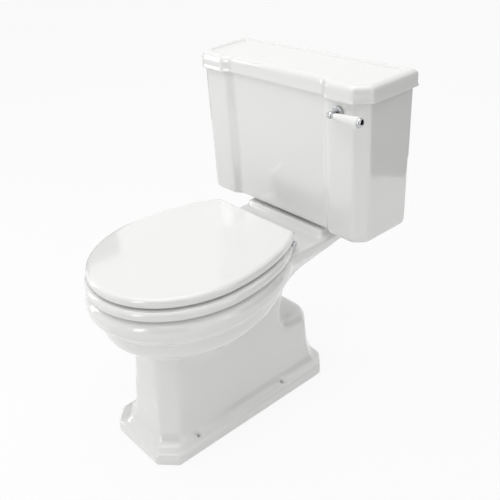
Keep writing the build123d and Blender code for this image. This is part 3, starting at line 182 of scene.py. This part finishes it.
paint.links.new(mix.outputs[0], paint.nodes["Material Output"].inputs["Surface"])
floor_mesh.materials.append(floor_paint)

# Three dull black screens for the chrome to mirror, behind the camera, on the right and on the left.
# The camera, diffuse light and shadows pass them by, but the white glaze mirrors them faintly too.
black_cloth = bpy.data.materials.new("black_cloth")
black_cloth.use_nodes = True
black_cloth.node_tree.nodes["Principled BSDF"].inputs["Base Color"].default_value = (0.01, 0.01, 0.01, 1)
black_cloth.node_tree.nodes["Principled BSDF"].inputs["Roughness"].default_value = 1.0


def dark_cloth(name, at, aim, half_w, half_h):
    """A black screen at one point that faces another and that only mirrors and glass can see."""
    face = (Vector(aim) - Vector(at)).normalized()
    along = Vector((0, 0, 1)).cross(face).normalized() * half_w
    rise = face.cross(along).normalized() * half_h
    mesh = bpy.data.meshes.new(name)
    mesh.from_pydata([tuple(Vector(at) + u * along + v * rise)
                      for u, v in ((-1, -1), (1, -1), (1, 1), (-1, 1))], [], [(0, 1, 2, 3)])
    mesh.materials.append(black_cloth)
    cloth = bpy.data.objects.new(name, mesh)
    cloth.visible_camera = False
    cloth.visible_diffuse = False
    cloth.visible_shadow = False
    scene.collection.objects.link(cloth)


dark_cloth("cloth_behind_camera", at=(1.7, -1.7, 1.0), aim=(0.1, 0.1, 0.7), half_w=0.9, half_h=1.0)
dark_cloth("cloth_on_the_right", at=(1.1, 1.2, 0.55), aim=(0.2, 0.2, 0.6), half_w=0.7, half_h=0.54)
dark_cloth("cloth_on_the_left", at=(-1.7, 0.2, 0.75), aim=(0.1, 0.1, 0.6), half_w=0.5, half_h=0.7)


# ---- pan ------------------------------------------------------------------------------------------
# Vitreous china, slip-cast and fired under a thick white glaze that rounds every edge. It is one piece
# from plinth to rim, which the CAD holds as three nodes, and screws through the plinth hold it down.
def glaze_group():
    """Slow waves and fine orange peel in a glaze, and the small changes in its polish."""
    group = bpy.data.node_groups.new("glaze_surface", "ShaderNodeTree")
    group.interface.new_socket("Roughness", in_out="OUTPUT", socket_type="NodeSocketFloat")
    group.interface.new_socket("Normal", in_out="OUTPUT", socket_type="NodeSocketVector")
    out = group.nodes.new("NodeGroupOutput")
    place = group.nodes.new("ShaderNodeTexCoord")
    waves = group.nodes.new("ShaderNodeTexNoise")
    waves.inputs["Scale"].default_value = 11.0
    waves.inputs["Detail"].default_value = 1.0
    peel = group.nodes.new("ShaderNodeTexNoise")
    peel.inputs["Scale"].default_value = 260.0
    peel.inputs["Detail"].default_value = 2.0
    polish = group.nodes.new("ShaderNodeMapRange")
    polish.inputs["To Min"].default_value = 0.05
    polish.inputs["To Max"].default_value = 0.10
    slow = group.nodes.new("ShaderNodeBump")
    slow.inputs["Strength"].default_value = 0.18
    slow.inputs["Distance"].default_value = 0.004
    fine = group.nodes.new("ShaderNodeBump")
    fine.inputs["Strength"].default_value = 0.04
    fine.inputs["Distance"].default_value = 0.0004
    for texture in (waves, peel):
        group.links.new(place.outputs["Object"], texture.inputs["Vector"])
    group.links.new(waves.outputs["Fac"], polish.inputs["Value"])
    group.links.new(waves.outputs["Fac"], slow.inputs["Height"])
    group.links.new(peel.outputs["Fac"], fine.inputs["Height"])
    group.links.new(slow.outputs["Normal"], fine.inputs["Normal"])
    group.links.new(polish.outputs["Result"], out.inputs["Roughness"])
    group.links.new(fine.outputs["Normal"], out.inputs["Normal"])
    return group


def glazed(name, colour):
    """China under clear glaze: one colour all over, a glassy coat and the glaze's own surface."""
    material = bpy.data.materials.new(name)
    material.use_nodes = True
    tree = material.node_tree
    shader = tree.nodes["Principled BSDF"]
    shader.inputs["Base Color"].default_value = (*colour, 1)
    shader.inputs["IOR"].default_value = 1.52
    shader.inputs["Coat Weight"].default_value = 0.6
    shader.inputs["Coat Roughness"].default_value = 0.03
    surface = tree.nodes.new("ShaderNodeGroup")
    surface.node_tree = glaze_group()
    tree.links.new(surface.outputs["Roughness"], shader.inputs["Roughness"])
    tree.links.new(surface.outputs["Normal"], shader.inputs["Normal"])
    return material


# Corners nearer than SEAM_GAP are one corner, and a face within JOINT_GAP of a joint's height is in it.
SEAM_GAP = 0.00002
JOINT_GAP = 0.00003


def merged_copy(nodes, name):
    """A free copy of CAD nodes' meshes as one, with seams closed and level joints taken out."""
    joined = bmesh.new()
    for node in nodes:
        joined.from_mesh(frame["nodes"][node].data)
    bmesh.ops.remove_doubles(joined, verts=joined.verts, dist=SEAM_GAP)
    joints = sorted({round(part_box(node)[0][2], 5) for node in nodes})[1:]
    inner = [face for face in joined.faces
             if any(all(abs(corner.co.z - joint) < JOINT_GAP for corner in face.verts) for joint in joints)]
    bmesh.ops.delete(joined, geom=inner, context="FACES")
    mesh = bpy.data.meshes.new(name)
    joined.to_mesh(mesh)
    joined.free()
    piece = bpy.data.objects.new(name, mesh)
    scene.collection.objects.link(piece)
    return piece


def baked(piece):
    """Make the piece's modifiers part of its mesh."""
    graph = bpy.context.evaluated_depsgraph_get()
    mesh = bpy.data.meshes.new_from_object(piece.evaluated_get(graph))
    piece.modifiers.clear()
    piece.data = mesh
    return mesh


RELAX_STEP = 0.5


def relaxed(mesh, rounds):
    """Pull each vertex towards its neighbours; rounds gives each vertex how many times."""
    count = len(mesh.vertices)
    points = np.zeros(count * 3, np.float64)
    mesh.vertices.foreach_get("co", points)
    points = points.reshape(-1, 3)
    edges = np.zeros(len(mesh.edges) * 2, np.int64)
    mesh.edges.foreach_get("vertices", edges)
    a, b = edges.reshape(-1, 2).T
    degree = np.bincount(a, minlength=count) + np.bincount(b, minlength=count)
    turns = rounds(points)
    for turn in range(int(turns.max())):
        total = np.stack([np.bincount(a, weights=points[b, k], minlength=count)
                          + np.bincount(b, weights=points[a, k], minlength=count)
                          for k in range(3)], axis=1)
        step = RELAX_STEP * np.clip(turns - turn, 0, 1)[:, None]
        points = points + step * (total / degree[:, None] - points)
    mesh.vertices.foreach_set("co", points.astype(np.float32).ravel())
    mesh.update()


def cast(nodes, name, voxel, rounds, most_triangles, material):
    """Remake CAD nodes as one smooth moulding whose edges are softly rounded."""
    piece = merged_copy(nodes, name)
    remesh = piece.modifiers.new("remesh", "REMESH")
    remesh.mode = "VOXEL"
    remesh.voxel_size = voxel
    relaxed(baked(piece), rounds)
    triangles = sum(len(p.vertices) - 2 for p in piece.data.polygons)
    if triangles > most_triangles:
        fewer = piece.modifiers.new("fewer", "DECIMATE")
        fewer.ratio = most_triangles / triangles
        baked(piece)
    piece.data.polygons.foreach_set("use_smooth", [True] * len(piece.data.polygons))
    piece.data.materials.clear()
    piece.data.materials.append(material)
    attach(piece, frame["nodes"][nodes[0]]["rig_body"])
    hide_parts(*nodes)


WHITE_GLAZE = glazed("white_glaze", (0.84, 0.84, 0.83))

# Rounds of relaxing: everywhere, more round the top of the plinth's flare, and most from the hump's low
# end up to the foot of the bell. A fade is the height over which the last ones come in or out.
ALL_OVER_ROUNDS = 8
FLARE_ROUNDS = 14
FLARE_TOP_Z = 0.072
FLARE_SPREAD = 0.02
BLEND_ROUNDS = 60
HUMP_LOW_Z = 0.145
HUMP_FADE = 0.02
BELL_FOOT_Z = 0.318
BELL_FADE = 0.025


def pan_rounds(points):
    """Crisp plinth, softer flare, and the softest blends where bowl, pedestal and neck flow together."""
    z = points[:, 2]
    blend = np.clip((z - HUMP_LOW_Z) / HUMP_FADE, 0, 1) * np.clip((BELL_FOOT_Z - z) / BELL_FADE, 0, 1)
    flare = np.exp(-((z - FLARE_TOP_Z) / FLARE_SPREAD) ** 2)
    return ALL_OVER_ROUNDS + BLEND_ROUNDS * blend + FLARE_ROUNDS * flare


cast(("pan_foot", "pan_bowl", "pan_rim"), "pan_china", voxel=0.0036, rounds=pan_rounds,
     most_triangles=190000, material=WHITE_GLAZE)


# ---- cistern tank and lid -------------------------------------------------------------------------
# Two more china castings. The tank stands on the pan's platform with a stepped panel in its front, and
# the lid lies loose on the tank's rim, with a bead round its foot and a sunken top.
def even(times):
    """The same number of rounds for every vertex."""
    return lambda points: np.full(len(points), float(times))


cast(("cistern_tank",), "cistern_tank_china", voxel=0.0030, rounds=even(10),
     most_triangles=150000, material=WHITE_GLAZE)
cast(("cistern_lid",), "cistern_lid_china", voxel=0.0022, rounds=even(11),
     most_triangles=150000, material=WHITE_GLAZE)


# ---- seat ring and seat lid -----------------------------------------------------------------------
# Two moulded boards under thick white lacquer, with round edges. The ring lies on four buffers on the
# rim and the lid on four on the ring, and both turn about the hinge bar.
def surface_group():
    """Slow waves and a fine grain in a surface: a mask of the waves and the normal of both."""
    group = bpy.data.node_groups.new("waves_and_grain", "ShaderNodeTree")
    for name in ("Wave Scale", "Wave Depth", "Grain Scale", "Grain Depth"):
        group.interface.new_socket(name, in_out="INPUT", socket_type="NodeSocketFloat")
    group.interface.new_socket("Mask", in_out="OUTPUT", socket_type="NodeSocketFloat")
    group.interface.new_socket("Normal", in_out="OUTPUT", socket_type="NodeSocketVector")
    given = group.nodes.new("NodeGroupInput")
    out = group.nodes.new("NodeGroupOutput")
    place = group.nodes.new("ShaderNodeTexCoord")
    textures, bumps = [], []
    for layer in ("Wave", "Grain"):
        texture = group.nodes.new("ShaderNodeTexNoise")
        texture.inputs["Detail"].default_value = 3.0
        bump = group.nodes.new("ShaderNodeBump")
        bump.inputs["Strength"].default_value = 0.3
        group.links.new(place.outputs["Object"], texture.inputs["Vector"])
        group.links.new(given.outputs[layer + " Scale"], texture.inputs["Scale"])
        group.links.new(given.outputs[layer + " Depth"], bump.inputs["Distance"])
        group.links.new(texture.outputs["Fac"], bump.inputs["Height"])
        textures.append(texture)
        bumps.append(bump)
    group.links.new(bumps[0].outputs["Normal"], bumps[1].inputs["Normal"])
    group.links.new(textures[0].outputs["Fac"], out.inputs["Mask"])
    group.links.new(bumps[1].outputs["Normal"], out.inputs["Normal"])
    return group


SURFACE = surface_group()


def finished(name, waves, grain, dark, light, rough, metallic=0.0, coat=0.0):
    """A material whose colour and polish wander between two values; waves and grain are (scale, depth)."""
    material = bpy.data.materials.new(name)
    material.use_nodes = True
    tree = material.node_tree
    shader = tree.nodes["Principled BSDF"]
    shader.inputs["Metallic"].default_value = metallic
    shader.inputs["Coat Weight"].default_value = coat
    shader.inputs["Coat Roughness"].default_value = 0.04
    surface = tree.nodes.new("ShaderNodeGroup")
    surface.node_tree = SURFACE
    for layer, (scale, depth) in (("Wave", waves), ("Grain", grain)):
        surface.inputs[layer + " Scale"].default_value = scale
        surface.inputs[layer + " Depth"].default_value = depth
    colour = tree.nodes.new("ShaderNodeMix")
    colour.data_type = "RGBA"
    colour.inputs["A"].default_value = (*dark, 1)
    colour.inputs["B"].default_value = (*light, 1)
    polish = tree.nodes.new("ShaderNodeMapRange")
    polish.inputs["From Min"].default_value = 0.3
    polish.inputs["From Max"].default_value = 0.7
    polish.inputs["To Min"].default_value, polish.inputs["To Max"].default_value = rough
    tree.links.new(surface.outputs["Mask"], colour.inputs["Factor"])
    tree.links.new(surface.outputs["Mask"], polish.inputs["Value"])
    tree.links.new(colour.outputs["Result"], shader.inputs["Base Color"])
    tree.links.new(polish.outputs["Result"], shader.inputs["Roughness"])
    tree.links.new(surface.outputs["Normal"], shader.inputs["Normal"])
    return material


LACQUER = finished("seat_lacquer", waves=(9.0, 0.0012), grain=(420.0, 0.00008),
                   dark=(0.82, 0.82, 0.81), light=(0.85, 0.85, 0.84), rough=(0.07, 0.13), coat=0.5)
cast(("seat_ring",), "seat_ring_board", voxel=0.0018, rounds=even(4),
     most_triangles=160000, material=LACQUER)
cast(("seat_lid",), "seat_lid_board", voxel=0.0018, rounds=even(4),
     most_triangles=160000, material=LACQUER)


# ---- chromed fittings -----------------------------------------------------------------------------
# Brass turned and polished under bright chrome plate: the lever's spindle, and the seat hinge's posts,
# bar, discs, brackets and ball ends. Every edge is broken by the polishing wheel.
SLOTS = {entry["node"]: entry["material_slot"] for entry in frame["record"]["subparts"]}
CHROME = finished("bright_chrome", waves=(30.0, 0.0003), grain=(700.0, 0.00002),
                  dark=(0.46, 0.47, 0.48), light=(0.55, 0.56, 0.57), rough=(0.02, 0.06), metallic=1.0)
BROKEN_EDGE = 0.0005
BROKEN_OVER = math.radians(48)
FITTING_SHARP_OVER = math.radians(38)


def fitted(node, material):
    """A CAD node's own shape with its seams closed, its edges broken and its curves smooth."""
    piece = merged_copy([node], node + "_finished")
    bevel = piece.modifiers.new("edge", "BEVEL")
    bevel.limit_method = "ANGLE"
    bevel.angle_limit = BROKEN_OVER
    bevel.width = BROKEN_EDGE
    bevel.segments = 3
    baked(piece)
    piece.data.polygons.foreach_set("use_smooth", [True] * len(piece.data.polygons))
    piece.data.set_sharp_from_angle(angle=FITTING_SHARP_OVER)
    piece.data.materials.clear()
    piece.data.materials.append(material)
    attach(piece, frame["nodes"][node]["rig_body"])
    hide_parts(node)


for node in ("lever_spindle", "hinge_posts", "hinge_bar", "hinge_end_discs", "lid_ball_ends",
             "seat_brackets", "lid_brackets"):
    fitted(node, CHROME)


# ---- flush lever: rose, grip and end cap ----------------------------------------------------------
# A chromed rose round the hole in the tank's front, a white china grip, and a chromed cap whose pin
# runs through the grip to the spindle. All three are round, so each is turned from a profile.
TURNING_STEPS = 96
TURNED_SHARP_OVER = math.radians(40)
POLE_R = 1e-6


def turned(node, profile, origin, axis, material):
    """A shape turned on a lathe in place of a CAD node; rows are (run along the axis, radius)."""
    run = Vector(axis).normalized()
    side = run.orthogonal().normalized()
    across = run.cross(side)
    shape = bmesh.new()
    rings = []
    for along, radius in profile:
        middle = Vector(origin) + run * along
        if radius < POLE_R:
            rings.append([shape.verts.new(middle)])
            continue
        rings.append([shape.verts.new(middle + (side * math.cos(turn) + across * math.sin(turn)) * radius)
                      for turn in (2 * math.pi * step / TURNING_STEPS for step in range(TURNING_STEPS))])
    for first, second in zip(rings, rings[1:]):
        for step in range(TURNING_STEPS):
            after = (step + 1) % TURNING_STEPS
            corners = (first[step % len(first)], first[after % len(first)],
                       second[after % len(second)], second[step % len(second)])
            shape.faces.new(list(dict.fromkeys(corners)))
    bmesh.ops.recalc_face_normals(shape, faces=shape.faces)
    mesh = bpy.data.meshes.new(node + "_turned")
    shape.to_mesh(mesh)
    shape.free()
    mesh.polygons.foreach_set("use_smooth", [True] * len(mesh.polygons))
    mesh.set_sharp_from_angle(angle=TURNED_SHARP_OVER)
    mesh.materials.append(material)
    piece = bpy.data.objects.new(node + "_turned", mesh)
    scene.collection.objects.link(piece)
    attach(piece, frame["nodes"][node]["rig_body"])
    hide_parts(node)


def rounded(along, radius, bend, start, end, steps=8):
    """Profile rows round an arc of a given bend radius, between two angles in degrees."""
    return [(along + bend * math.sin(math.radians(start + (end - start) * step / steps)),
             radius + bend * math.cos(math.radians(start + (end - start) * step / steps)))
            for step in range(steps + 1)]


# The rose: a nearly flat plate with a rolled edge and a raised step round the spindle.
# Known fault: ROSE_H is the CAD node's whole depth, and that node also holds the bush through the wall.
# So the step runs through the wall, the plate ends up inside the tank, and only the step shows in front.
rose_low, rose_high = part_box("lever_rose")
ROSE_R = (rose_high[0] - rose_low[0]) / 2
ROSE_CENTRE = ((rose_high[0] + rose_low[0]) / 2, rose_high[1], (rose_high[2] + rose_low[2]) / 2)
ROSE_H = rose_high[1] - rose_low[1]
PLATE_H = 0.0035
PLATE_ROLL = 0.0018
PLATE_ROLL_DOWN = 0.0022
PLATE_BACK_IN = 0.0006
STEP_R = 0.013
STEP_ROLL = 0.0016
SPINDLE_R = 0.005
CORNER_W = 0.001
CORNER_H = 0.0004
rose_profile = [(0.0, SPINDLE_R), (0.0, ROSE_R - PLATE_BACK_IN)]
rose_profile += rounded(PLATE_H - PLATE_ROLL_DOWN, ROSE_R - PLATE_ROLL, PLATE_ROLL, -20, 80)
rose_profile += [(PLATE_H, STEP_R + CORNER_W), (PLATE_H + CORNER_H, STEP_R)]
rose_profile += rounded(ROSE_H - STEP_ROLL, STEP_R - STEP_ROLL, STEP_ROLL, 0, 80)
rose_profile += [(ROSE_H, SPINDLE_R + CORNER_W), (ROSE_H - CORNER_H, SPINDLE_R), (0.0, SPINDLE_R)]
turned("lever_rose", rose_profile, ROSE_CENTRE, (0, -1, 0), CHROME)

# The grip: white glazed china, slim at the hub and full at the end.
grip_low, grip_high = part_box("lever_grip")
GRIP_RUN = grip_high[0] - grip_low[0]
GRIP_ROOT = (grip_low[0], (grip_low[1] + grip_high[1]) / 2, (grip_low[2] + grip_high[2]) / 2)
GRIP_ROOT_R = 0.0065
GRIP_ROOT_BEND = 0.0012
GRIP_END_R = (grip_high[2] - grip_low[2]) / 2
GRIP_END_BEND = 0.002
GRIP_STRAIGHT = 0.75
GRIP_ROWS = 14
grip_profile = [(0.0, 0.0), (0.0, GRIP_ROOT_R - GRIP_ROOT_BEND)]
grip_profile += rounded(GRIP_ROOT_BEND, GRIP_ROOT_R - GRIP_ROOT_BEND, GRIP_ROOT_BEND, -90, -10, 5)
for step in range(1, GRIP_ROWS):
    share = step / GRIP_ROWS
    swell = GRIP_STRAIGHT * share + (1 - GRIP_STRAIGHT) * math.sin(share * math.pi / 2)
    grip_profile.append((GRIP_ROOT_BEND + (GRIP_RUN - GRIP_ROOT_BEND - GRIP_END_BEND) * share,
                         GRIP_ROOT_R + (GRIP_END_R - GRIP_ROOT_R) * swell))
grip_profile += rounded(GRIP_RUN - GRIP_END_BEND, GRIP_END_R - GRIP_END_BEND, GRIP_END_BEND, 0, 90, 6)
grip_profile += [(GRIP_RUN, 0.0)]
turned("lever_grip", grip_profile, GRIP_ROOT, (1, 0, 0), WHITE_GLAZE)

# The end cap: a plain dome behind a rolled lip. Its pin is hidden in the grip and isn't modelled here.
cap_low, cap_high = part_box("lever_grip_cap")
CAP_R = (cap_high[2] - cap_low[2]) / 2
CAP_RUN = cap_high[0] - grip_high[0]
CAP_BACK_IN = 0.0008
LIP_AT = 0.001
LIP_ROLL = 0.0009
DOME_AT = 0.0022
DOME_IN = 0.0002
DOME_START = 12
DOME_ROWS = 11
cap_profile = [(0.0, 0.0), (0.0, CAP_R - CAP_BACK_IN)]
cap_profile += rounded(LIP_AT, CAP_R - LIP_ROLL, LIP_ROLL, -60, 20, 5)
for step in range(1, DOME_ROWS):
    turn = math.radians(DOME_START + (90 - DOME_START) * step / DOME_ROWS)
    cap_profile.append((DOME_AT + (CAP_RUN - DOME_AT) * math.sin(turn), (CAP_R - DOME_IN) * math.cos(turn)))
cap_profile += [(CAP_RUN, 0.0)]
turned("lever_grip_cap", cap_profile, (grip_high[0], GRIP_ROOT[1], GRIP_ROOT[2]), (1, 0, 0), CHROME)


# ---- rubber, plastic and raw metal ----------------------------------------------------------------
# The working parts: plastic siphon, float and valve, rubber seals, and brass and steel fixings. The
# plastics keep a mould's faint grain, the rubbers are dull, and the metals are dulled by damp.
WAVES = (40.0, 0.0002)
GRAIN = (900.0, 0.00006)
MATERIALS = {
    "white_plastic": finished("moulded_plastic", WAVES, GRAIN, dark=(0.76, 0.76, 0.74),
                              light=(0.83, 0.83, 0.81), rough=(0.30, 0.42)),
    "black_rubber": finished("sealing_rubber", WAVES, GRAIN, dark=(0.018, 0.018, 0.019),
                             light=(0.035, 0.034, 0.033), rough=(0.6, 0.8)),
    "white_rubber": finished("buffer_rubber", WAVES, GRAIN, dark=(0.72, 0.72, 0.69),
                             light=(0.80, 0.80, 0.78), rough=(0.45, 0.6)),
    "brass": finished("dull_brass", WAVES, GRAIN, dark=(0.52, 0.36, 0.16),
                      light=(0.74, 0.55, 0.28), rough=(0.22, 0.42), metallic=1.0),
    "steel": finished("damp_steel", WAVES, GRAIN, dark=(0.48, 0.48, 0.48),
                      light=(0.64, 0.64, 0.63), rough=(0.22, 0.40), metallic=1.0),
    "chrome": CHROME,
    "seat_lacquer": LACQUER,
    "china": WHITE_GLAZE,
}
for node, solid in frame["nodes"].items():
    solid.data.materials.clear()
    solid.data.materials.append(MATERIALS[SLOTS[node]])
